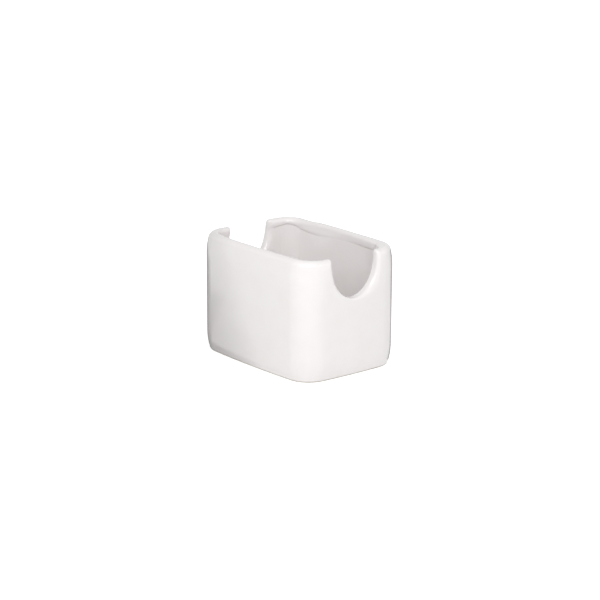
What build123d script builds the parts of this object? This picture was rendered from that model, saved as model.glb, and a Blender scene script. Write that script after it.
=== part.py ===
from build123d import *
from math import asin, atan2, cos, degrees, hypot, radians, sin, sqrt
import os

# Sugar packet holder: a slip-cast china box with an open top, a finger notch in
# each end wall, a rolled rim and a bare foot ring. X runs along the length, Y
# across it, and Z up from the table, with the origin under the middle of the box.
# Every size is in millimetres.

# Outside of the glazed box
holder_length = 89.0
holder_width = 65.8
holder_height = 61.9
corner_radius = 14.0
end_wall_bow = 1.5
side_wall_bow = 1.8

# Lean of the walls towards the rim and towards the foot
shoulder_lean = 1.62
shoulder_depth = 10.8
foot_lean = 1.56
foot_rise = 10.4

# Walls and floor
wall_thickness = 5.6
floor_thickness = 4.5
cove_radius = 6.0

# Rim, rolled over outwards and inwards, and the lip that it makes inside
rim_outer_radius = 1.8
rim_inner_radius = 2.5
lip_overhang = 0.7
lip_depth = 4.8
lip_undercut = 1.0

# Finger notches: the lower half of an ellipse under short upright sides
notch_width = 28.8
notch_depth = 21.9
notch_curve_height = 19.2
notch_mouth_radius = 2.6
notch_inner_radius = 1.0

# Foot ring, with a shallow well inside it
foot_ring_width = 4.1
foot_well_depth = 1.5
foot_edge_radius = 0.7
well_corner_radius = 0.5

# Glaze, which is wiped off the foot up to a line just above the table
glaze_thickness = 0.3
glaze_line_height = 0.8

# How far a cutting form runs past what it cuts, and how near to a level or an
# outline an edge must lie to count as being on it
overrun = 2.0
matching = 0.05

# Share of the corner radius that a turned stretch of a form reaches inwards, and
# the share of a face's normal below which the face counts as square to that way
core_share = 0.9
level_share = 0.01


def bow_radius(span, bow):
    """Radius of an arc that leaves its tangent by the bow over the span."""
    return (span**2 + bow**2) / (2 * bow)


def plan_arcs():
    """The eight arcs of the outside plan, each as centre, radius, start and turn.

    Each wall is an arc that stands out by its bow at its middle. Each corner is
    an arc that touches both of its walls, so its centre lies one corner radius
    inside each of their arcs.
    """
    end_radius = bow_radius(holder_width / 2, end_wall_bow)
    side_radius = bow_radius(holder_length / 2, side_wall_bow)
    end_x = holder_length / 2 - end_radius
    side_y = holder_width / 2 - side_radius
    apart = hypot(end_x, side_y)
    to_side = side_radius - corner_radius
    to_end = end_radius - corner_radius
    along = (to_side**2 - to_end**2 + apart**2) / (2 * apart)
    across = sqrt(to_side**2 - along**2)
    corner_x = (along * end_x - across * side_y) / apart
    corner_y = side_y - (along * side_y + across * end_x) / apart
    end_turn = degrees(atan2(corner_y, corner_x - end_x))
    side_start = degrees(atan2(corner_y - side_y, corner_x))
    corner_turn = side_start - end_turn
    arcs = []
    for turned, facing in ((0, 1), (180, -1)):
        near_corner = (facing * corner_x, facing * corner_y)
        far_corner = (-facing * corner_x, facing * corner_y)
        arcs.append(((facing * end_x, 0), end_radius, turned - end_turn, 2 * end_turn))
        arcs.append((near_corner, corner_radius, turned + end_turn, corner_turn))
        arcs.append(((0, facing * side_y), side_radius, turned + side_start, 180 - 2 * side_start))
        arcs.append((far_corner, corner_radius, turned + 180 - side_start, corner_turn))
    return arcs


def plan_face(inset):
    """The outside plan, drawn in by the inset on every side."""
    arcs = plan_arcs()
    edges = [CenterArc(centre, radius - inset, start, turn) for centre, radius, start, turn in arcs]
    return make_face(edges)


def carried_round(section, low, high):
    """A form whose side has one section all the way round the plan.

    The section is a function that gives the edges of a face, for an outer wall
    at one distance from the turning centre and an inner end at another. Each arc
    of the plan turns its section about its own centre, and a straight core from
    low to high fills the middle.
    """
    reach = core_share * corner_radius
    form = extrude(Pos(0, 0, low) * plan_face(reach), high - low)
    stretches = []
    for centre, radius, start, turn in plan_arcs():
        outwards = (cos(radians(start)), sin(radians(start)), 0)
        sideways = (sin(radians(start)), -cos(radians(start)), 0)
        upright = Plane(origin=(*centre, 0), x_dir=outwards, z_dir=sideways)
        face = upright * make_face(section(radius, radius - reach))
        axis = Axis((*centre, 0), (0, 0, 1))
        stretches.append(revolve(face, axis=axis, revolution_arc=turn))
    return form.fuse(*stretches)


def leaning_arc(wall, height, span, lean, skin, end):
    """Arc that leaves an upright wall at a height and leans in, less the skin.

    It leans in by the lean over the span, and is drawn to the end height.
    """
    radius = bow_radius(span, lean)
    turn = degrees(asin((end - height) / (radius - skin)))
    return CenterArc((wall - radius, height), radius - skin, 0, turn)


def outside_form(skin):
    """The solid block inside the outer surface, less a skin, from the foot to the rim."""
    top = holder_height - skin
    shoulder_height = holder_height - shoulder_depth

    def section(wall, core):
        foot = leaning_arc(wall, foot_rise, foot_rise, foot_lean, skin, 0)
        shoulder = leaning_arc(wall, shoulder_height, shoulder_depth, shoulder_lean, skin, top)
        return [
            foot,
            shoulder,
            Line(foot @ 0, shoulder @ 0),
            Line(shoulder @ 1, (core, top)),
            Line((core, top), (core, 0)),
            Line((core, 0), foot @ 1),
        ]

    return carried_round(section, 0, top)


def floor_top(skin):
    """Height of the floor inside the box, less a skin."""
    return foot_well_depth + floor_thickness - skin


def cavity_form(skin):
    """The space below the lip: a cove at the floor and an undercut at the lip."""
    floor = floor_top(skin)
    lip = holder_height - lip_depth
    cove = cove_radius + skin

    def section(wall, core):
        inside = wall - wall_thickness
        face = inside + skin
        undercut_centre = (inside - lip_overhang, lip - lip_undercut)
        undercut = EllipticalCenterArc(
            undercut_centre,
            lip_overhang + skin,
            lip_undercut + skin,
            start_angle=0,
            arc_size=90,
        )
        corner = CenterArc((face - cove, floor + cove), cove, 0, -90)
        return [
            undercut,
            corner,
            Line(undercut @ 0, corner @ 0),
            Line(corner @ 1, (core, floor)),
            Line((core, floor), (core, lip + skin)),
            Line((core, lip + skin), undercut @ 1),
        ]

    return carried_round(section, floor, lip + skin)


def notch_form(skin):
    """A bar right through both end walls, with the notches' outline."""
    half_width = notch_width / 2 + skin
    curve_height = notch_curve_height + skin
    level = holder_height - notch_depth + notch_curve_height
    above = holder_height + overrun
    curve = EllipticalCenterArc(
        (0, level), half_width, curve_height, start_angle=180, arc_size=180
    )
    outline = [
        curve,
        Line(curve @ 1, (half_width, above)),
        Line((half_width, above), (-half_width, above)),
        Line((-half_width, above), curve @ 0),
    ]
    return extrude(Plane.YZ * make_face(outline), holder_length / 2 + overrun, both=True)


def well_form(skin):
    """The shallow well inside the foot ring, with its ceiling's edge rounded."""
    ring_inset = foot_lean + foot_ring_width - skin
    depth = foot_well_depth + skin
    block = extrude(Pos(0, 0, -overrun) * plan_face(ring_inset), overrun + depth)
    return fillet(block.edges().group_by(Axis.Z)[-1], well_corner_radius + skin)


def cut_across(face, top):
    """Whether a face is one that the rim's top or a notch cuts across the walls."""
    middle = face.center()
    if middle.Z > top - matching:
        return True
    beside = abs(middle.Y) < notch_width / 2 + notch_mouth_radius
    above = middle.Z > holder_height - notch_depth - glaze_thickness - matching
    return beside and above and abs(face.normal_at().X) < level_share


def rim_edges(form, top, inside):
    """Edges that run along the rim and dip down round the notches.

    They border the band of faces cut across the walls: each is the edge of only
    one face of the band. Those of the outer loop lie outside an outline in the
    middle of the walls, and those of the inner loop inside it.
    """
    middle = plan_face((shoulder_lean + wall_thickness + lip_overhang) / 2)
    sides = ShapeList()
    for face in form.faces().filter_by(lambda face: cut_across(face, top)):
        sides.extend(face.edges())
    found = ShapeList()
    for edge in sides:
        point = edge.position_at(0.5)
        alone = sum(edge.is_same(other) for other in sides) == 1
        if alone and middle.is_inside(Vector(point.X, point.Y, 0)) == inside:
            found.append(edge)
    return found


def notch_inner_edges(form):
    """The notches' edges on the cavity's upright walls, below the lip."""
    found = ShapeList()
    for face in form.faces().filter_by(GeomType.CYLINDER):
        in_cavity = abs(face.center().X) < (holder_length - wall_thickness) / 2
        upright = abs(face.normal_at().Z) < level_share
        above = face.bounding_box().max.Z > holder_height - notch_depth
        if in_cavity and upright and above:
            curved = face.edges().filter_by(GeomType.LINE, reverse=True)
            found.extend(curved.filter_by(GeomType.CIRCLE, reverse=True))
    return found


def holder_form(skin):
    """The whole holder less a skin on every face but the foot's."""
    top = holder_height - skin
    lip_inset = wall_thickness + lip_overhang - skin
    shaft = extrude(Pos(0, 0, floor_top(skin)) * plan_face(lip_inset), top)
    form = outside_form(skin) - shaft - notch_form(skin)
    mouth = form.edges().filter_by(Axis.X).group_by(Axis.Z)[-1]
    form = fillet(mouth, notch_mouth_radius - skin)
    form = fillet(rim_edges(form, top, inside=False), rim_outer_radius - skin)
    form = fillet(rim_edges(form, top, inside=True), rim_inner_radius - skin)
    form = form - cavity_form(skin)
    form = fillet(notch_inner_edges(form), notch_inner_radius - skin)
    form = form - well_form(skin)
    return fillet(form.edges().group_by(Axis.Z)[0], foot_edge_radius)


glazed = holder_form(0)
clay_body = holder_form(glaze_thickness)
coat = split(glazed - clay_body, bisect_by=Plane.XY.offset(glaze_line_height), keep=Keep.TOP)
well_glaze, glaze_coat = coat.solids().sort_by(Axis.Z)

os.makedirs("parts", exist_ok=True)
pieces = {"clay_body": clay_body, "glaze_coat": glaze_coat, "well_glaze": well_glaze}
for name, piece in pieces.items():
    export_step(piece, f"parts/{name}.step")
    print(name, "volume", round(piece.volume, 1), "valid", piece.is_valid)
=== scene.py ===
# %% [markdown]
# # A sugar packet holder of white glazed china
#
# The holder is one slip-cast box with an open top and a finger notch in each
# short wall. The CAD model already fixes its size, its walls and the place of
# every edge. This lesson dresses it: it works out the skin of the glaze as one
# flowing surface, with the soft rolls, sags and folds that wet clay and melted
# glaze leave, and gives it a finish that shows them.

import bpy
import numpy as np
from mathutils import Matrix, Vector


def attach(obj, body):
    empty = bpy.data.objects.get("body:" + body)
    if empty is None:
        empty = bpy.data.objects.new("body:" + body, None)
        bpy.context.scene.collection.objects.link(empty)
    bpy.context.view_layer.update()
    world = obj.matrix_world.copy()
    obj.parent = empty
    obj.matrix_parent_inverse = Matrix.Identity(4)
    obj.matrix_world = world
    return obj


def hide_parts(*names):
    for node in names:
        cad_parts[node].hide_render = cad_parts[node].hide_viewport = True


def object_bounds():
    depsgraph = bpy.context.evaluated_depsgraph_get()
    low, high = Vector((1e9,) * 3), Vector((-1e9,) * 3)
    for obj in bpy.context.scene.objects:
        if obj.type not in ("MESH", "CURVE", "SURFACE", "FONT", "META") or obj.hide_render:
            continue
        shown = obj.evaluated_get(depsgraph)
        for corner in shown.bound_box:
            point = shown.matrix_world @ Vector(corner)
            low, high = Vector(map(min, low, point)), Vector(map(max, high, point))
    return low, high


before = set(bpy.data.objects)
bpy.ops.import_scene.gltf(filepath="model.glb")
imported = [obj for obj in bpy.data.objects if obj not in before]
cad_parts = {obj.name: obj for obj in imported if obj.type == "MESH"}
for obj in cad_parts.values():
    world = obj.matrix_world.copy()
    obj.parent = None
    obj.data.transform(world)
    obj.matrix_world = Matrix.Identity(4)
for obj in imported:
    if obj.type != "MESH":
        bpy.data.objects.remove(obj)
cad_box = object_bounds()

print("CAD box", [[round(value, 4) for value in corner] for corner in cad_box])

# %% [markdown]
# ## The outline from above
#
# Four walls that bow outwards a little and four round corners make the plan.
# It could be a spline through points, but a mould maker draws it with arcs, and
# arcs can be drawn in or out by any distance and stay arcs. So the plan is
# eight arcs, each known by its centre, radius and angles. A place on the wall
# is then a distance along the outline, a height, and a depth into the wall.

# %% Sizes of the outline, from the frame and in metres
mm = 0.001
half_length = cad_box[1].x
half_width = cad_box[1].y
rim_height = cad_box[1].z
corner_radius = 14.0 * mm
end_wall_bow = 1.5 * mm
side_wall_bow = 1.8 * mm


def bow_radius(span, bow):
    """Radius of an arc that leaves its tangent by the bow over the span.

    That is (span^2 + bow^2) / (2 * bow).
    """
    return (span**2 + bow**2) / (2 * bow)


def plan_arcs():
    """Centre, radius, first angle and turn of the outline's eight arcs.

    A corner's arc touches the arcs of both its walls, so its centre is where
    two circles meet: one corner radius inside each wall's own circle.
    """
    end_radius = bow_radius(half_width, end_wall_bow)
    side_radius = bow_radius(half_length, side_wall_bow)
    end_centre = np.array([half_length - end_radius, 0.0])
    side_centre = np.array([0.0, half_width - side_radius])
    between = end_centre - side_centre
    apart = np.hypot(*between)
    way = between / apart
    to_side = side_radius - corner_radius
    to_end = end_radius - corner_radius
    along = (to_side**2 - to_end**2 + apart**2) / (2 * apart)
    across = np.sqrt(to_side**2 - along**2)
    corner = side_centre + along * way + across * np.array([way[1], -way[0]])
    first = np.arctan2(*(corner - end_centre)[::-1])
    second = np.arctan2(*(corner - side_centre)[::-1])
    quarter = [
        (end_centre, end_radius, -first, 2 * first),
        (corner, corner_radius, first, second - first),
        (side_centre, side_radius, second, np.pi - 2 * second),
        (corner * (-1, 1), corner_radius, np.pi - second, second - first),
    ]
    opposite = [(-centre, radius, start + np.pi, turn) for centre, radius, start, turn in quarter]
    return quarter + opposite


arcs = plan_arcs()
arc_lengths = np.array([radius * turn for _, radius, _, turn in arcs])
outline_length = arc_lengths.sum()
print("outline", round(outline_length / mm, 1), "mm round")

# %% From a distance along the outline to a point


def on_plan(along, inset):
    """Points of the outline, drawn in by the inset.

    The distance along starts at the middle of the first end wall. Its arc gives
    an angle, and the point is centre + (radius - inset) * (cos, sin).
    """
    starts = np.concatenate([[0.0], np.cumsum(arc_lengths)]) - arc_lengths[0] / 2
    along = (along + arc_lengths[0] / 2) % outline_length - arc_lengths[0] / 2
    which = np.clip(np.searchsorted(starts, along, side="right") - 1, 0, len(arcs) - 1)
    centres = np.array([centre for centre, _, _, _ in arcs])[which]
    radii = np.array([radius for _, radius, _, _ in arcs])[which]
    firsts = np.array([start for _, _, start, _ in arcs])[which]
    angle = firsts + (along - starts[which]) / radii
    reach = radii - inset
    x = centres[..., 0] + reach * np.cos(angle)
    y = centres[..., 1] + reach * np.sin(angle)
    return x, y


# %% [markdown]
# ## The rim as a path that dips into the notches
#
# Seen flat on, the rim runs level, turns over the notch's mouth, and follows
# half an ellipse down and up again. If the notch were cut out of a finished
# mesh, its edge would be jagged and hard to round. So the rim is the path that
# the whole surface follows: every line of the grid starts on it, square to it.
# A path set deeper into the wall, as the rounding needs, is a smaller copy of
# the same corner and a larger copy of the same ellipse.

# %% Sizes of the notch, and columns of the grid along each stretch of the path
notch_half_width = 14.4 * mm
notch_depth = 21.9 * mm
mouth_size = 4.2 * mm
mouth_squareness = 8.0

curve_height = notch_depth - mouth_size
curve_level = rim_height - mouth_size
curve_columns = 64
mouth_columns = 16
rim_columns = 120
turn_samples = 400


def evenly(points, count):
    """Resample a curve of 2-D points to even steps along its length."""
    steps = np.hypot(*np.diff(points, axis=0).T)
    travelled = np.concatenate([[0.0], np.cumsum(steps)])
    wanted = np.linspace(0.0, travelled[-1], count)
    return np.stack([np.interp(wanted, travelled, column) for column in points.T], axis=1)


# %% Half of the rim path, from the bottom of one notch to the bottom of the other


def rim_path_parts():
    """Base point and outward way for each column of half the rim path.

    A point at depth d is base - d * way. On the ellipse, the base is the point
    (a sin t, -b cos t) below the ellipse's centre and the way is its normal
    towards the notch. At the mouth, the base is the corner of a rounded square,
    x^8 + y^8 = 1, and the way shrinks it towards its centre. On the level rim,
    the way is up.
    """
    turn = np.linspace(0.0, np.pi / 2, turn_samples)
    ellipse = np.stack([notch_half_width * np.sin(turn), -curve_height * np.cos(turn)], axis=1)
    ellipse = evenly(ellipse, curve_columns + 1)[:-1]
    normal = -ellipse / np.array([notch_half_width**2, curve_height**2])
    normal /= np.hypot(*normal.T)[:, None]
    curve = ellipse + np.array([0.0, curve_level])

    power = 2 / mouth_squareness
    round_off = np.stack([-np.cos(turn) ** power, np.sin(turn) ** power], axis=1)
    round_off = evenly(round_off, mouth_columns + 1)
    mouth_centre = np.array([notch_half_width + mouth_size, curve_level])
    mouth = mouth_centre + mouth_size * round_off

    level_start = notch_half_width + mouth_size
    level_end = outline_length / 2 - level_start
    level_along = np.linspace(level_start, level_end, rim_columns + 2)[1:-1]
    level = np.stack([level_along, np.full(rim_columns, rim_height)], axis=1)
    up = np.tile([0.0, 1.0], (rim_columns, 1))

    far = np.array([-1.0, 1.0])
    shift = np.array([outline_length / 2, 0.0])
    base = [curve, mouth, level, (mouth * far + shift)[::-1], (curve * far + shift)[::-1]]
    way = [normal, round_off, up, (round_off * far)[::-1], (normal * far)[::-1]]
    return np.concatenate(base), np.concatenate(way)


half_base, half_way = rim_path_parts()
print("columns in half the rim", len(half_base))

# %% [markdown]
# ## The section of the wall
#
# Now the surface needs its other parameter: where a point lies along the cut
# through the wall, from the foot up the outside, over the rim, down the inside
# and across the floor. Each stretch has a formula for two things: how deep the
# point is below the rim's path, and how far it is set in from the outline. The
# same formulas, drawn in by the thickness of the glaze, give the clay beneath,
# so the two can never cut through each other.

# %% Sizes of the section
foot_lean = 1.56 * mm
foot_rise = 10.4 * mm
shoulder_lean = 1.62 * mm
shoulder_depth = 10.8 * mm
wall_thickness = 5.6 * mm
floor_height = 6.0 * mm
cove_radius = 6.0 * mm
glaze_thickness = 0.3 * mm
glaze_line = 0.8 * mm


def ease(value, low, high):
    """Smooth step from 0 at the low value to 1 at the high one: 3t^2 - 2t^3."""
    share = np.clip((value - low) / (high - low), 0.0, 1.0)
    return share * share * (3 - 2 * share)


def arc_lean(distance, span, lean):
    """Inset of an arc that leaves the wall's line: R - sqrt(R^2 - distance^2)."""
    radius = bow_radius(span, lean)
    return radius - np.sqrt(radius**2 - np.clip(distance, 0.0, span) ** 2)


def outside_inset(height):
    """How far the foot and the shoulder draw the outside in at a height."""
    foot = arc_lean(foot_rise - height, foot_rise, foot_lean)
    shoulder = arc_lean(height - rim_height + shoulder_depth, shoulder_depth, shoulder_lean)
    return foot + shoulder


# %% [markdown]
# ## What the hand and the kiln leave
#
# A cast rim is trimmed by hand and sags a little as it is fired, so its height
# drifts by fractions of a millimetre, and the lip inside is a fold that is
# plump in the corners and almost gone in the middle of the long walls. One
# corner is thicker than the rest, the mouths of the notches lean sideways, and
# the edges are worn or melted rounder in places. Noise could shake the mesh,
# but these are slow, smooth changes along the outline, so each is a sum of a
# few bells of the distance along it.

# %% Bells along the outline: place and reach in millimetres, and height


def hump(along, centre, reach):
    """Bell of height 1 round a place on the outline: exp(-(distance / reach)^2)."""
    away = (along - centre + outline_length / 2) % outline_length - outline_length / 2
    return np.exp(-((away / reach) ** 2))


def bells(along, table):
    """Sum of bells from a table of places and reaches in millimetres, and heights."""
    return sum(height * hump(along, place * mm, reach * mm) for place, reach, height in table)


# %% The lip and the thick corner inside
lip_depth = 4.8 * mm
lip_sharp = 2.0 * mm
lip_soft = 3.2 * mm
lip_least = 0.05 * mm
lip_most = 0.9 * mm
lip_bells = [
    (113, 15, 0.95), (95, 9, 0.45), (47, 13, 0.68), (31, 9, 0.7), (-27, 12, 0.8),
    (-64, 12, 0.4), (-108, 13, 0.9),
]
fold_bells = [(113, 9, -1.4), (88, 11, 1.5), (48, 7, 0.2), (-52, 14, 0.8), (-104, 10, -0.9)]
thick_bells = [(33, 12, 1.8)]
thick_start = 14.0 * mm
thick_full = 3.0 * mm


def inside_inset(along, height):
    """Inset of the inside wall: the wall's thickness, plus the lip's roll near the rim.

    The lip's underside is a quarter of a circle, sqrt(1 - t^2), from its face
    back to the wall. Where the lip is plump it turns back within two
    millimetres and leaves a sharp fold, and where it is thin it fades over
    three. In one corner the wall thickens towards the rim as well.
    """
    plump = np.clip(bells(along, lip_bells), 0.0, 1.0)
    overhang = lip_least + (lip_most - lip_least) * plump
    curl = lip_soft + (lip_sharp - lip_soft) * plump
    fold = rim_height - lip_depth - bells(along, fold_bells) * mm
    short = np.clip((fold + curl - height) / curl, 0.0, 1.0)
    thickening = ease(height, rim_height - thick_start, rim_height - thick_full)
    thick = bells(along, thick_bells) * mm * thickening
    return wall_thickness + thick + overhang * np.sqrt(1 - short**2)


# %% The rim's dips and the notches' sideways shifts
rim_dips = [(-27, 10, 0.35), (-17, 6, 0.55), (17, 5, 0.5), (62, 14, 0.1), (97, 7, 0.45)]
dip_start = 0.6 * rim_height

# A shift has a fourth number, the depth in millimetres at which it has faded out
mouth_shifts = [
    (17, 6, 0.6, 12), (10, 6, 1.4, 30), (-16.5, 6, 0.8, 15), (-123, 6, -1.2, 12),
    (129, 8.2, 2.7, 46),
]


def drift(along, height):
    """Rise and fall of the rim, fading out down the wall."""
    return -bells(along, rim_dips) * mm * ease(height, dip_start, rim_height)


def flare(along, height):
    """Sideways shift of the notches' mouths, each fading out down its edge to a depth."""
    faded = (
        shift * mm * hump(along, place * mm, reach * mm)
        * ease(height, rim_height - depth * mm, rim_height)
        for place, reach, shift, depth in mouth_shifts
    )
    return sum(faded)


# %% [markdown]
# ## From the formulas to a mesh
#
# The grid's columns are the points of the rim's path, and its rows are the
# places along the section. Below the rolled edge, each column runs in a
# straight line, on the unrolled wall, to its own place on the foot or on the
# floor. The columns that start in a notch fan out there, so that no two cross.

# %% Columns of the grid
fan_reach = 60.0 * mm


def whole_path():
    """Base, way and foot place of every column, all the way round.

    Within the fan's reach of a notch, the foot places lie as far apart, share
    for share, as the columns do along the path. Past it, each lies straight
    below the rim.
    """
    base = np.concatenate([half_base, (half_base * (-1, 1))[-2:0:-1]])
    way = np.concatenate([half_way, (half_way * (-1, 1))[-2:0:-1]])
    travelled = np.concatenate([[0.0], np.cumsum(np.hypot(*np.diff(half_base, axis=0).T))])
    fan = np.interp(fan_reach, half_base[:, 0], travelled)
    middle = travelled[-1] / 2
    folded = middle - np.abs(travelled - middle)
    spread = np.where(folded < fan, folded * fan_reach / fan, folded - fan + fan_reach)
    foot = np.where(travelled < middle, spread, outline_length / 2 - spread)
    return base, way, np.concatenate([foot, -foot[-2:0:-1]])


path_base, path_way, foot_along = whole_path()
print("columns all the way round", len(path_base))


def at_depth(depth):
    """Distance along and height of every column at a depth: base - depth * way."""
    return (path_base - depth[:, None] * path_way).T


def placed(along, height, inset):
    """A row of points from its place on the wall, moved by the flare and the drift."""
    x, y = on_plan(along + flare(along, height), inset)
    return np.stack([x, y, height + drift(along, height)], axis=1)


# %% Rolls of the rim's edges, as sizes across and down
rim_outer_roll = np.array([2.1, 2.4]) * mm
notch_outer_roll = np.array([0.9, 0.9]) * mm
rim_inner_roll = np.array([1.6, 1.6]) * mm
notch_inner_roll = np.array([1.8, 1.8]) * mm
notch_blend_depth = 12.0 * mm
rim_blend_depth = 2.0 * mm

# Where the edges are worn, rounder or softer, and by how much
worn_bells = [(10, 5, 1.3), (-14, 6, 0.4), (-127, 6, 0.4)]
notch_wear = np.array([1.0, 2.9]) * mm
round_bells = [(130, 9, 1.6)]
soft_edges = [
    (21, 6, 0.6), (-119, 6, 0.6), (130, 9, 1.0), (110, 11, 1.2), (-27, 14, 1.6),
    (-60, 16, 1.4), (-88, 12, 0.8),
]
edge_wear = np.array([0.4, 1.0]) * mm


def edge_rolls(skin):
    """Outer and inner roll of every column, each as its sizes across and down.

    Between two depths below the rim, the roll of a notch's edge eases into the
    level rim's. Bells add what is worn away, and the skin is taken off.
    """
    along, height = path_base.T
    level = ease(height, rim_height - notch_blend_depth, rim_height - rim_blend_depth)[:, None]
    worn = notch_wear * bells(along, worn_bells)[:, None]
    rounder = bells(along, round_bells)[:, None] * mm
    soft = bells(along, soft_edges)[:, None] * edge_wear
    outer = notch_outer_roll + (worn + rounder)
    outer = outer + level * (rim_outer_roll - outer) - skin
    inner = notch_inner_roll + level * (rim_inner_roll - notch_inner_roll) + soft - skin
    return outer.T, inner.T


# %% Rows up the outside wall and over the rim
crown_shares = (0.25, 0.5, 0.75)


def wall_rows(skin, band, count):
    """Rows up the outside, on straight lines from the glaze line to the band's edge."""
    along, height = at_depth(band + skin)
    rows = []
    for share in np.linspace(0.0, 1.0, count, endpoint=False):
        row_along = foot_along + share * (along - foot_along)
        row_height = glaze_line + share * (height - glaze_line)
        rows.append(placed(row_along, row_height, outside_inset(row_height) + skin))
    return rows


def rim_rows(skin, outer, inner, count):
    """Rows over the rim: the outer roll, the crown between the rolls, the inner roll.

    A roll is a quarter of an ellipse: down * (1 - sin t) below the path, and
    across * (1 - cos t) in from the face of the wall.
    """
    rows = []
    across, down = outer
    for angle in np.linspace(0.0, np.pi / 2, count):
        along, height = at_depth(down * (1 - np.sin(angle)) + skin)
        inset = outside_inset(height) + skin + across * (1 - np.cos(angle))
        rows.append(placed(along, height, inset))
    outer_edge = outside_inset(height) + skin + across
    across, down = inner
    inner_edge = inside_inset(along, height) - skin - across
    for share in crown_shares:
        rows.append(placed(along, height, outer_edge + share * (inner_edge - outer_edge)))
    for angle in np.linspace(np.pi / 2, 0.0, count):
        along, height = at_depth(down * (1 - np.sin(angle)) + skin)
        inset = inside_inset(along, height) - skin - across * (1 - np.cos(angle))
        rows.append(placed(along, height, inset))
    return rows


# %% Rows down the inside wall and in to the middle of the floor
fine_share = 0.09


def inside_rows(skin, band, inner_down, lip_count, count):
    """Rows down the inside, to the top of the cove.

    They follow the path through the band of the lip, and straight lines below
    it. Half of these rows lie in the first part, where the lip's fold is.
    """
    rows = []
    for share in np.linspace(0.0, 1.0, lip_count, endpoint=False)[1:]:
        along, height = at_depth(inner_down + share * (band - inner_down) + skin)
        rows.append(placed(along, height, inside_inset(along, height) - skin))
    along, height = at_depth(band + skin)
    cove_top = (floor_height - skin) + (cove_radius + skin)
    fine = np.linspace(0.0, fine_share, count // 2, endpoint=False)
    coarse = np.linspace(0.0, 1.0, count - len(fine), endpoint=False)
    for share in np.concatenate([fine, fine_share + (1 - fine_share) * coarse]):
        row_along = along + share * (foot_along - along)
        row_height = height + share * (cove_top - height)
        rows.append(placed(row_along, row_height, inside_inset(row_along, row_height) - skin))
    return rows


def towards_middle(row, count):
    """Rows that shrink from a ring to the middle of the flat it lies on."""
    centre = np.array([0.0, 0.0, row[:, 2].mean()])
    shares = np.linspace(0.0, 1.0, count, endpoint=False)[1:]
    return [row + share * (centre - row) for share in shares]


def floor_rows(skin, cove_count, count):
    """Rows round the cove, a quarter circle, and in over the floor."""
    floor = floor_height - skin
    cove = cove_radius + skin
    rows = []
    for angle in np.linspace(0.0, np.pi / 2, cove_count):
        inset = wall_thickness - skin + cove * (1 - np.cos(angle))
        height = np.full(len(foot_along), floor + cove * (1 - np.sin(angle)))
        rows.append(placed(foot_along, height, inset))
    return rows + towards_middle(rows[-1], count)


# %% The whole section
band_depth = 3.9 * mm
band_spare = 0.1 * band_depth


def section_rows(skin, counts):
    """Rows from the glaze line, up, over the rim, down and in to the floor.

    The skin is how far both faces are drawn into the wall: nothing for the
    glaze, and the glaze's thickness for the clay. The band holds the rolls and
    the lip, and reaches past the deepest roll by a little.
    """
    outer, inner = edge_rolls(skin)
    band = np.maximum(band_depth, np.maximum(outer[1], inner[1]) + band_spare)
    rows = wall_rows(skin, band, counts["wall"])
    rows += rim_rows(skin, outer, inner, counts["roll"])
    rows += inside_rows(skin, band, inner[1], counts["lip"], counts["inside"])
    rows += floor_rows(skin, counts["cove"], counts["floor"])
    return np.stack(rows)


# %% From rows of points to a closed mesh


def closed_mesh(name, rows, first_pole, last_pole):
    """A closed mesh from rows of points and a pole at each end.

    The faces join each row to the next and its last column to its first, and
    fans of triangles close the two poles.
    """
    row_count, column_count, _ = rows.shape
    points = np.concatenate([rows.reshape(-1, 3), [first_pole, last_pole]])
    here = np.arange(row_count * column_count).reshape(row_count, column_count)
    beside = np.roll(here, -1, axis=1)
    quads = np.stack([here[:-1], beside[:-1], beside[1:], here[1:]], axis=-1).reshape(-1, 4)
    first = np.full(column_count, row_count * column_count)
    opening = np.stack([first, beside[0], here[0]], axis=1)
    closing = np.stack([first + 1, here[-1], beside[-1]], axis=1)
    mesh = bpy.data.meshes.new(name)
    mesh.from_pydata(points.tolist(), [], quads.tolist() + opening.tolist() + closing.tolist())
    mesh.polygons.foreach_set("use_smooth", np.ones(len(mesh.polygons), bool))
    mesh.update()
    piece = bpy.data.objects.new(name, mesh)
    bpy.context.scene.collection.objects.link(piece)
    print(name, len(points), "points", 2 * len(quads) + 2 * column_count, "triangles")
    return piece


# %% [markdown]
# ## Three pieces: glaze, clay, and the patch under the foot
#
# The glaze is a shell: its outer skin, a bead where it stops just above the
# table, and its inner skin against the clay. The clay goes on from there, round
# the bare foot ring and into the shallow well beneath, where a separate patch
# of glaze lies. Each is one closed surface from pole to pole.

# %% The glaze
fine_counts = {"wall": 26, "roll": 10, "lip": 10, "inside": 36, "cove": 8, "floor": 9}
plain_counts = {"wall": 14, "roll": 6, "lip": 4, "inside": 20, "cove": 6, "floor": 5}
bead_count = 5


def pole(rows):
    """The middle of the last row of a surface, where it closes."""
    return rows[-1].mean(axis=0)


skin_rows = section_rows(0.0, fine_counts)
under_rows = section_rows(glaze_thickness, plain_counts)


def bead_rows(count):
    """The bead that ends the glaze: a quarter circle from the clay out to the glaze.

    A point is clay + sin t * (glaze - clay) sideways, and rises by
    thickness * (1 - cos t) from the glaze line.
    """
    turn = np.linspace(0.0, np.pi / 2, count)[:, None, None]
    flat = under_rows[0] + np.sin(turn) * (skin_rows[0] - under_rows[0])
    rise = np.array([0.0, 0.0, glaze_thickness]) * (1 - np.cos(turn))
    return flat + rise


glaze_rows = np.concatenate([under_rows[::-1], bead_rows(bead_count)[1:], skin_rows[1:]])
glaze = closed_mesh("glaze_skin", glaze_rows, pole(under_rows), pole(skin_rows))

# %% Rings under the foot
foot_edge_radius = 0.7 * mm
foot_ring_width = 4.1 * mm
foot_turns = 6
well_depth = 1.5 * mm
well_corner_radius = 0.5 * mm
well_turns = 5
well_rings = 8
well_inset = foot_lean + foot_ring_width


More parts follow.
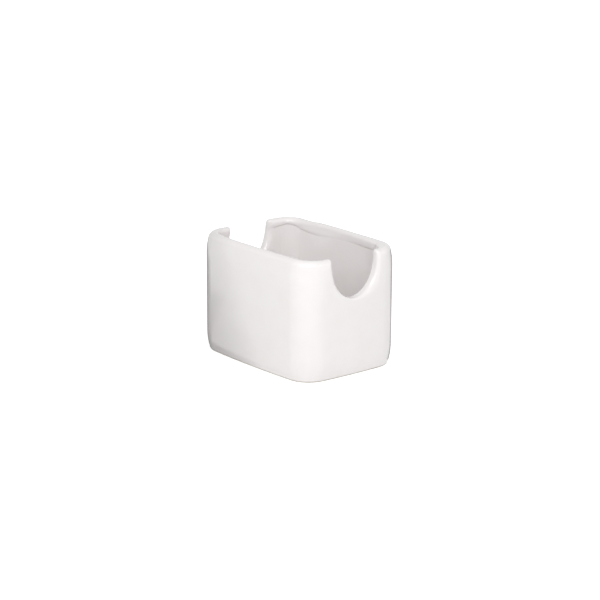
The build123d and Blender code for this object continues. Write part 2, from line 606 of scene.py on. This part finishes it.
def ring_row(inset, height):
    """One row round the foot at an inset and a height, on the glaze's own columns."""
    x, y = on_plan(foot_along, inset)
    return np.stack([x, y, np.full(len(x), height)], axis=1)


def corner_rows(inset, height, across, rise, turns):
    """Rows round a rounded corner, from its centre: inset + across * cos, height + rise * sin."""
    return [ring_row(inset + across * np.cos(turn), height + rise * np.sin(turn)) for turn in turns]


def well_rows(skin):
    """Rows from the middle of the well's ceiling out and down its side."""
    side = well_inset - skin
    ceiling = well_depth + skin
    corner = well_corner_radius + skin
    turns = np.linspace(np.pi / 2, 0.0, well_turns) + np.pi
    curve = corner_rows(side + corner, ceiling - corner, corner, -corner, turns)
    return np.stack(towards_middle(curve[0], well_rings)[::-1] + curve)


# %% The clay: the glaze's inner skin, and the foot ring and the well under it
bare_top = 0.95 * glaze_line
outer_foot = outside_inset(foot_edge_radius) + glaze_thickness
inner_foot = well_inset - glaze_thickness
outer_edge = corner_rows(
    outer_foot + foot_edge_radius, foot_edge_radius, -foot_edge_radius, -foot_edge_radius,
    np.linspace(0.0, np.pi / 2, foot_turns),
)
inner_edge = corner_rows(
    inner_foot - foot_edge_radius, foot_edge_radius, foot_edge_radius, -foot_edge_radius,
    np.linspace(np.pi / 2, 0.0, foot_turns),
)
foot_rows = np.stack([ring_row(outer_foot, bare_top)] + outer_edge + inner_edge)
well = well_rows(glaze_thickness)
clay_rows = np.concatenate([well, foot_rows[::-1], under_rows])
clay = closed_mesh("clay_shell", clay_rows, pole(well[::-1]), pole(under_rows))

# %% The patch of glaze in the well
face = well_rows(0.0)
patch_edge = np.stack([ring_row(well_inset, glaze_line), ring_row(inner_foot, glaze_line)])
patch_rows = np.concatenate([face, patch_edge, well[::-1]])
patch = closed_mesh("well_glaze_patch", patch_rows, pole(face[::-1]), pole(well[::-1]))

# %% [markdown]
# ## Node maths that reads like sums
#
# A procedural finish is arithmetic on positions and noise. Wired by hand it is
# a page of node calls, so one small class wraps a socket and adds the Math node
# whenever two values are added or multiplied.

# %% A shader value that can be used in sums


class Value:
    """One output of a node tree, or the start of one when it has no socket yet."""

    def __init__(self, tree, socket=None):
        self.tree = tree
        self.socket = socket

    def node(self, kind, sockets=None, output=0, **settings):
        """Add a node: its settings first, then the values or links of its sockets."""
        made = self.tree.nodes.new(kind)
        for name, value in settings.items():
            setattr(made, name, value)
        for name, value in (sockets or {}).items():
            if isinstance(value, Value):
                self.tree.links.new(value.socket, made.inputs[name])
            else:
                made.inputs[name].default_value = value
        return Value(self.tree, made.outputs[output] if made.outputs else None)

    def __add__(self, other):
        return self.node("ShaderNodeMath", {0: self, 1: other}, operation="ADD")

    def __mul__(self, other):
        return self.node("ShaderNodeMath", {0: self, 1: other}, operation="MULTIPLY")

    __radd__ = __add__
    __rmul__ = __mul__

    def step(self, low, high):
        """Smooth step from 0 at the low value to 1 at the high one."""
        sockets = {"Value": self, "From Min": low, "From Max": high}
        return self.node("ShaderNodeMapRange", sockets, interpolation_type="SMOOTHSTEP")

    def blend(self, low, high):
        """A colour between two colours, by this value."""
        sockets = {0: self, 6: low, 7: high}
        return self.node("ShaderNodeMix", sockets, output=2, data_type="RGBA")

    def noise(self, size, detail, roughness=0.5):
        """Noise on the object's own coordinates, its grains about one size across."""
        place = self.node("ShaderNodeTexCoord", output=3)
        sockets = {"Vector": place, "Scale": 1 / size, "Detail": detail, "Roughness": roughness}
        return self.node("ShaderNodeTexNoise", sockets)

    def bump(self, strength, distance, **below):
        """A normal bent by this value as a height, over the bent Normal below, if any."""
        sockets = {"Height": self, "Strength": strength, "Distance": distance, **below}
        return self.node("ShaderNodeBump", sockets)


# %% A material and its surface


def new_material(name):
    """An empty material and the start of its tree."""
    material = bpy.data.materials.new(name)
    material.use_nodes = True
    material.node_tree.nodes.clear()
    return material, Value(material.node_tree)


def finish_material(material, shader):
    """Link a shader to the material's output."""
    shader.node("ShaderNodeOutputMaterial", {"Surface": shader})
    print(material.name, len(material.node_tree.nodes), "nodes")
    return material


# %% [markdown]
# ## White glaze
#
# Opaque white glaze is a thick, slightly uneven glass over white clay. Its
# colour hardly changes, a touch warmer where it pools, and its shine is smooth
# with the faint ripple that potters call orange peel. A flat white plastic has
# the colour but not the ripple, so the noise goes into the normal, very weakly,
# at two sizes: the slow roll of the casting and the fine peel of the glaze.

# %% The glaze's finish
glaze_white = (0.86, 0.832, 0.828, 1.0)
glaze_warm = (0.85, 0.818, 0.808, 1.0)
pool_size = 9.0 * mm
casting_size = 18.0 * mm
casting_height = 0.25 * mm
peel_size = 1.6 * mm
peel_height = 0.02 * mm
ripple_strength = 0.1
sheen_size = 5.0 * mm
sheen_least = 0.10
sheen_change = 0.05
glass_index = 1.5


def glaze_material():
    """White to warm by one noise, and rolled and peeled by two more in the normal."""
    material, start = new_material("white_glaze")
    pooling = start.noise(pool_size, 2).step(0.35, 0.75)
    sheen = sheen_least + sheen_change * start.noise(sheen_size, 3)
    rolled = start.noise(casting_size, 1).bump(ripple_strength, casting_height)
    peeled = start.noise(peel_size, 2).bump(ripple_strength, peel_height, Normal=rolled)
    colour = pooling.blend(glaze_white, glaze_warm)
    sockets = {"Base Color": colour, "Roughness": sheen, "Normal": peeled, "IOR": glass_index}
    return finish_material(material, start.node("ShaderNodeBsdfPrincipled", sockets))


white_glaze = glaze_material()

# %% [markdown]
# ## Bare clay
#
# The foot ring is wiped clean of glaze, so the fired clay shows: matt, a little
# warmer than the glaze, finely gritty, and rubbed paler where it has slid about
# on tables. Its darker stain tone is partly painted shade: it darkens the thin
# line where the foot meets the floor.

# %% The clay's finish
clay_pale = (0.74, 0.71, 0.66, 1.0)
# The dark colour is partly stain and partly painted shade, for the dark line where the foot meets
# the floor.
clay_dark_stain_and_shade = (0.62, 0.58, 0.52, 1.0)
grit_size = 0.4 * mm
grit_height = 0.05 * mm
grit_strength = 0.5
grit_share = 0.3
stain_and_shade_size = 6.0 * mm
clay_smooth = 0.75
clay_rougher = 0.15


def clay_material():
    """Pale to dark by stain, partly painted shade, and grit, with the grit in the roughness and the
    normal too.
    """
    material, start = new_material("bare_clay")
    grit = start.noise(grit_size, 4, 0.7)
    # Patches of the dark colour, partly stain and partly painted shade.
    stain_and_shade = start.noise(stain_and_shade_size, 3).step(0.35, 0.7)
    colour = ((1 - grit_share) * stain_and_shade + grit_share * grit).blend(clay_pale, clay_dark_stain_and_shade)
    rough = clay_smooth + clay_rougher * grit
    bump = grit.bump(grit_strength, grit_height)
    sockets = {"Base Color": colour, "Roughness": rough, "Normal": bump}
    return finish_material(material, start.node("ShaderNodeBsdfPrincipled", sockets))


bare_clay = clay_material()

# %% The pieces take their finish, their body and their place in the frame
for piece, node, slot, material in (
    (glaze, "glaze_coat", "white_glaze", white_glaze),
    (clay, "clay_body", "bare_clay", bare_clay),
    (patch, "well_glaze", "white_glaze", white_glaze),
):
    piece.data.materials.append(material)
    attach(piece, "root")
    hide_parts(node)
    print(piece.name, "stands for", node)

# %% [markdown]
# ## Floor and light
#
# White china on white paper is drawn by its shading alone, so the light has to
# be soft and uneven: a bright, large window of light towards the corner that
# faces the camera, a weak one towards the end wall, and an even sky. The paper
# and the sky are white to the camera and in the glaze's shine, but light the
# holder no more than pale grey ones would.

# %% Floor
floor_size = 4.0
floor_glow = 0.7
paper_pale = (0.8, 0.8, 0.8, 1.0)
paper_dark = (0.78, 0.78, 0.78, 1.0)
tooth_size = 3.0 * mm


def seen_directly(start):
    """1 for a ray from the camera or off a shiny surface, else 0."""
    rays = ("Is Camera Ray", "Is Glossy Ray")
    return sum(start.node("ShaderNodeLightPath", output=ray) for ray in rays)


def floor_material():
    """Matt paper, plus an even glow that only the camera and reflections see."""
    material, start = new_material("paper")
    shade = start.noise(tooth_size, 2).blend(paper_pale, paper_dark)
    paper = start.node("ShaderNodeBsdfDiffuse", {"Color": shade})
    glow = start.node("ShaderNodeEmission", {"Strength": floor_glow * seen_directly(start)})
    return finish_material(material, start.node("ShaderNodeAddShader", {0: paper, 1: glow}))


floor_mesh = bpy.data.meshes.new("floor")
corners = np.array([[-1, -1, 0], [1, -1, 0], [1, 1, 0], [-1, 1, 0]]) * floor_size / 2
floor_mesh.from_pydata(corners.tolist(), [], [[0, 1, 2, 3]])
floor_mesh.materials.append(floor_material())
floor = bpy.data.objects.new("floor", floor_mesh)
bpy.context.scene.collection.objects.link(floor)

# %% World: white to the camera and in reflections, a plain even light on the object
sky_white = (1.0, 1.0, 1.0, 1.0)
sky_strength = 0.515
world = bpy.data.worlds.new("studio")
bpy.context.scene.world = world
world.use_nodes = True
world.node_tree.nodes.clear()


def paint_world():
    """Link a white background, of strength 1 where it is seen and less where it lights."""
    start = Value(world.node_tree)
    strength = sky_strength + (1.0 - sky_strength) * seen_directly(start)
    background = start.node("ShaderNodeBackground", {"Color": sky_white, "Strength": strength})
    start.node("ShaderNodeOutputWorld", {"Surface": background})


paint_world()

# %% Lamps
holder_middle = Vector((0.0, 0.0, rim_height / 2))
lamp_distance = 0.8


def soft_lamp(name, turn, rise, size, power):
    """A rectangular lamp round the object at a turn and a rise in degrees, facing it."""
    turn, rise = np.radians([turn, rise])
    light = bpy.data.lights.new(name, "AREA")
    light.shape = "RECTANGLE"
    light.size, light.size_y = size
    light.energy = power
    lamp = bpy.data.objects.new(name, light)
    way = Vector((np.cos(turn) * np.cos(rise), np.sin(turn) * np.cos(rise), np.sin(rise)))
    lamp.location = holder_middle + way * lamp_distance
    lamp.rotation_euler = way.to_track_quat("Z", "Y").to_euler()
    bpy.context.scene.collection.objects.link(lamp)
    print(name, "lamp of", power, "W")


soft_lamp("key", turn=-48.5, rise=34.0, size=(0.7, 0.5), power=3.85)
soft_lamp("fill", turn=38.0, rise=22.0, size=(0.8, 0.5), power=0.85)

# %% [markdown]
# ## A flag and a dark card
#
# On white, a white object loses its edges, because its shine mirrors the white
# behind it. Photographers stand a black flag in the lamp's way, so that the
# light fades out towards one end, and lay a dark card where only the shine
# finds it, so that the edges come out as thin dark lines. Here the camera can't
# see either, and the card takes no light off the floor. The card fades out
# towards its rim, because a hard edge would show in the glaze from behind.

# %% Black paper that can fade out
card_black = (0.03, 0.03, 0.03, 1.0)
card_grey = (0.04, 0.04, 0.04, 1.0)
fibre_size = 2.0 * mm


def card_material():
    """Black paper where the mesh's attribute is 1, and clear air where it is 0."""
    material, start = new_material("card_black")
    fibre = start.noise(fibre_size, 2).blend(card_black, card_grey)
    black = start.node("ShaderNodeBsdfDiffuse", {"Color": fibre})
    clear = start.node("ShaderNodeBsdfTransparent")
    cover = start.node("ShaderNodeAttribute", output=2, attribute_name="cover").step(0.0, 1.0)
    sockets = {0: cover, 1: clear, 2: black}
    return finish_material(material, start.node("ShaderNodeMixShader", sockets))


card_paper = card_material()


def dark_sheet(name, core, rim=()):
    """A flat card, black over its core and fading out to nothing at its rim.

    Each point of the rim belongs to the core's point at the same place in its
    list. The attribute is 1 on the core's points and 0 on the rim's. The camera
    doesn't see the card, and it isn't part of the object.
    """
    count = len(core)
    ring = [(i, (i + 1) % count, count + (i + 1) % count, count + i) for i in range(len(rim))]
    mesh = bpy.data.meshes.new(name)
    mesh.from_pydata([*core, *rim], [], [list(range(count))] + ring)
    cover = mesh.attributes.new("cover", "FLOAT", "POINT")
    cover.data.foreach_set("value", [1.0] * count + [0.0] * len(rim))
    mesh.materials.append(card_paper)
    card = bpy.data.objects.new(name, mesh)
    bpy.context.scene.collection.objects.link(card)
    card.visible_camera = False
    card.visible_diffuse = False
    print(name, len(mesh.polygons), "faces")
    return card


# %% The flag, upright in front of the front wall's left half
flag_front = -half_width - 40 * mm
flag_outline = [(-0.5, 0.002), (0.03, 0.002), (-0.09, 0.3), (-0.5, 0.3)]
flag = dark_sheet("flag", [(x, flag_front, z) for x, z in flag_outline])
flag.visible_glossy = False

# %% The card, from above: round the foot of the far walls, away behind, and back on the left
card_height = 0.6 * mm
card_core = [
    (-0.034, -0.028), (-0.05, 0.0), (-0.03, 0.036), (0.03, 0.036), (0.041, 0.03),
    (0.017, 0.1), (0.012, 0.2), (-0.03, 0.5), (-0.2, 0.5), (-0.45, 0.25),
    (-0.26, 0.03), (-0.19, -0.06), (-0.11, -0.08), (-0.044, -0.034), (-0.02, -0.0322),
]
card_rim = [
    (-0.03, -0.025), (-0.04, 0.0), (-0.03, 0.03), (0.03, 0.03), (0.043, 0.029),
    (0.026, 0.1), (0.03, 0.2), (0.02, 0.5), (-0.2, 0.65), (-0.65, 0.35),
    (-0.36, -0.04), (-0.23, -0.11), (-0.12, -0.105), (-0.042, -0.0385), (0.03, -0.0335),
]
core_points, rim_points = ([(x, y, card_height) for x, y in part] for part in (card_core, card_rim))
card = dark_sheet("card", core_points, rim_points)
card.visible_shadow = False

# %% [markdown]
# ## The camera
#
# The photograph looks down a little on one corner of the holder, from about a
# metre away with a long lens. The camera stands where a fit of the outline put
# it, and is moved sideways by a hair rather than shifted, so that other views
# can turn it freely.

# %% Camera
azimuth = np.radians(50.468)
elevation = np.radians(15.779)
roll = np.radians(-0.394)
distance = 1.02076
lens = 120.2
sensor_width = 36.0
aside = 0.878 * mm
below = 1.726 * mm

level_way = np.cos(elevation)
back_way = Vector((np.sin(azimuth) * level_way, -np.cos(azimuth) * level_way, np.sin(elevation)))
right_way = Vector((np.cos(azimuth), np.sin(azimuth), 0.0))
up_way = back_way.cross(right_way)
turned_right = right_way * np.cos(roll) - up_way * np.sin(roll)
turned_up = right_way * np.sin(roll) + up_way * np.cos(roll)
stand = holder_middle + back_way * distance + turned_right * aside - turned_up * below
axes = Matrix((turned_right, turned_up, back_way)).transposed().to_4x4()
camera = bpy.data.objects.new("camera", bpy.data.cameras.new("camera"))
camera.data.lens = lens
camera.data.sensor_width = sensor_width
camera.matrix_world = Matrix.Translation(stand) @ axes
bpy.context.scene.collection.objects.link(camera)
bpy.context.scene.camera = camera
bpy.context.scene.view_settings.view_transform = "Standard"
print("camera at", [round(value, 3) for value in stand])

# %% The end: the view layer is brought up to date
bpy.context.view_layer.update()
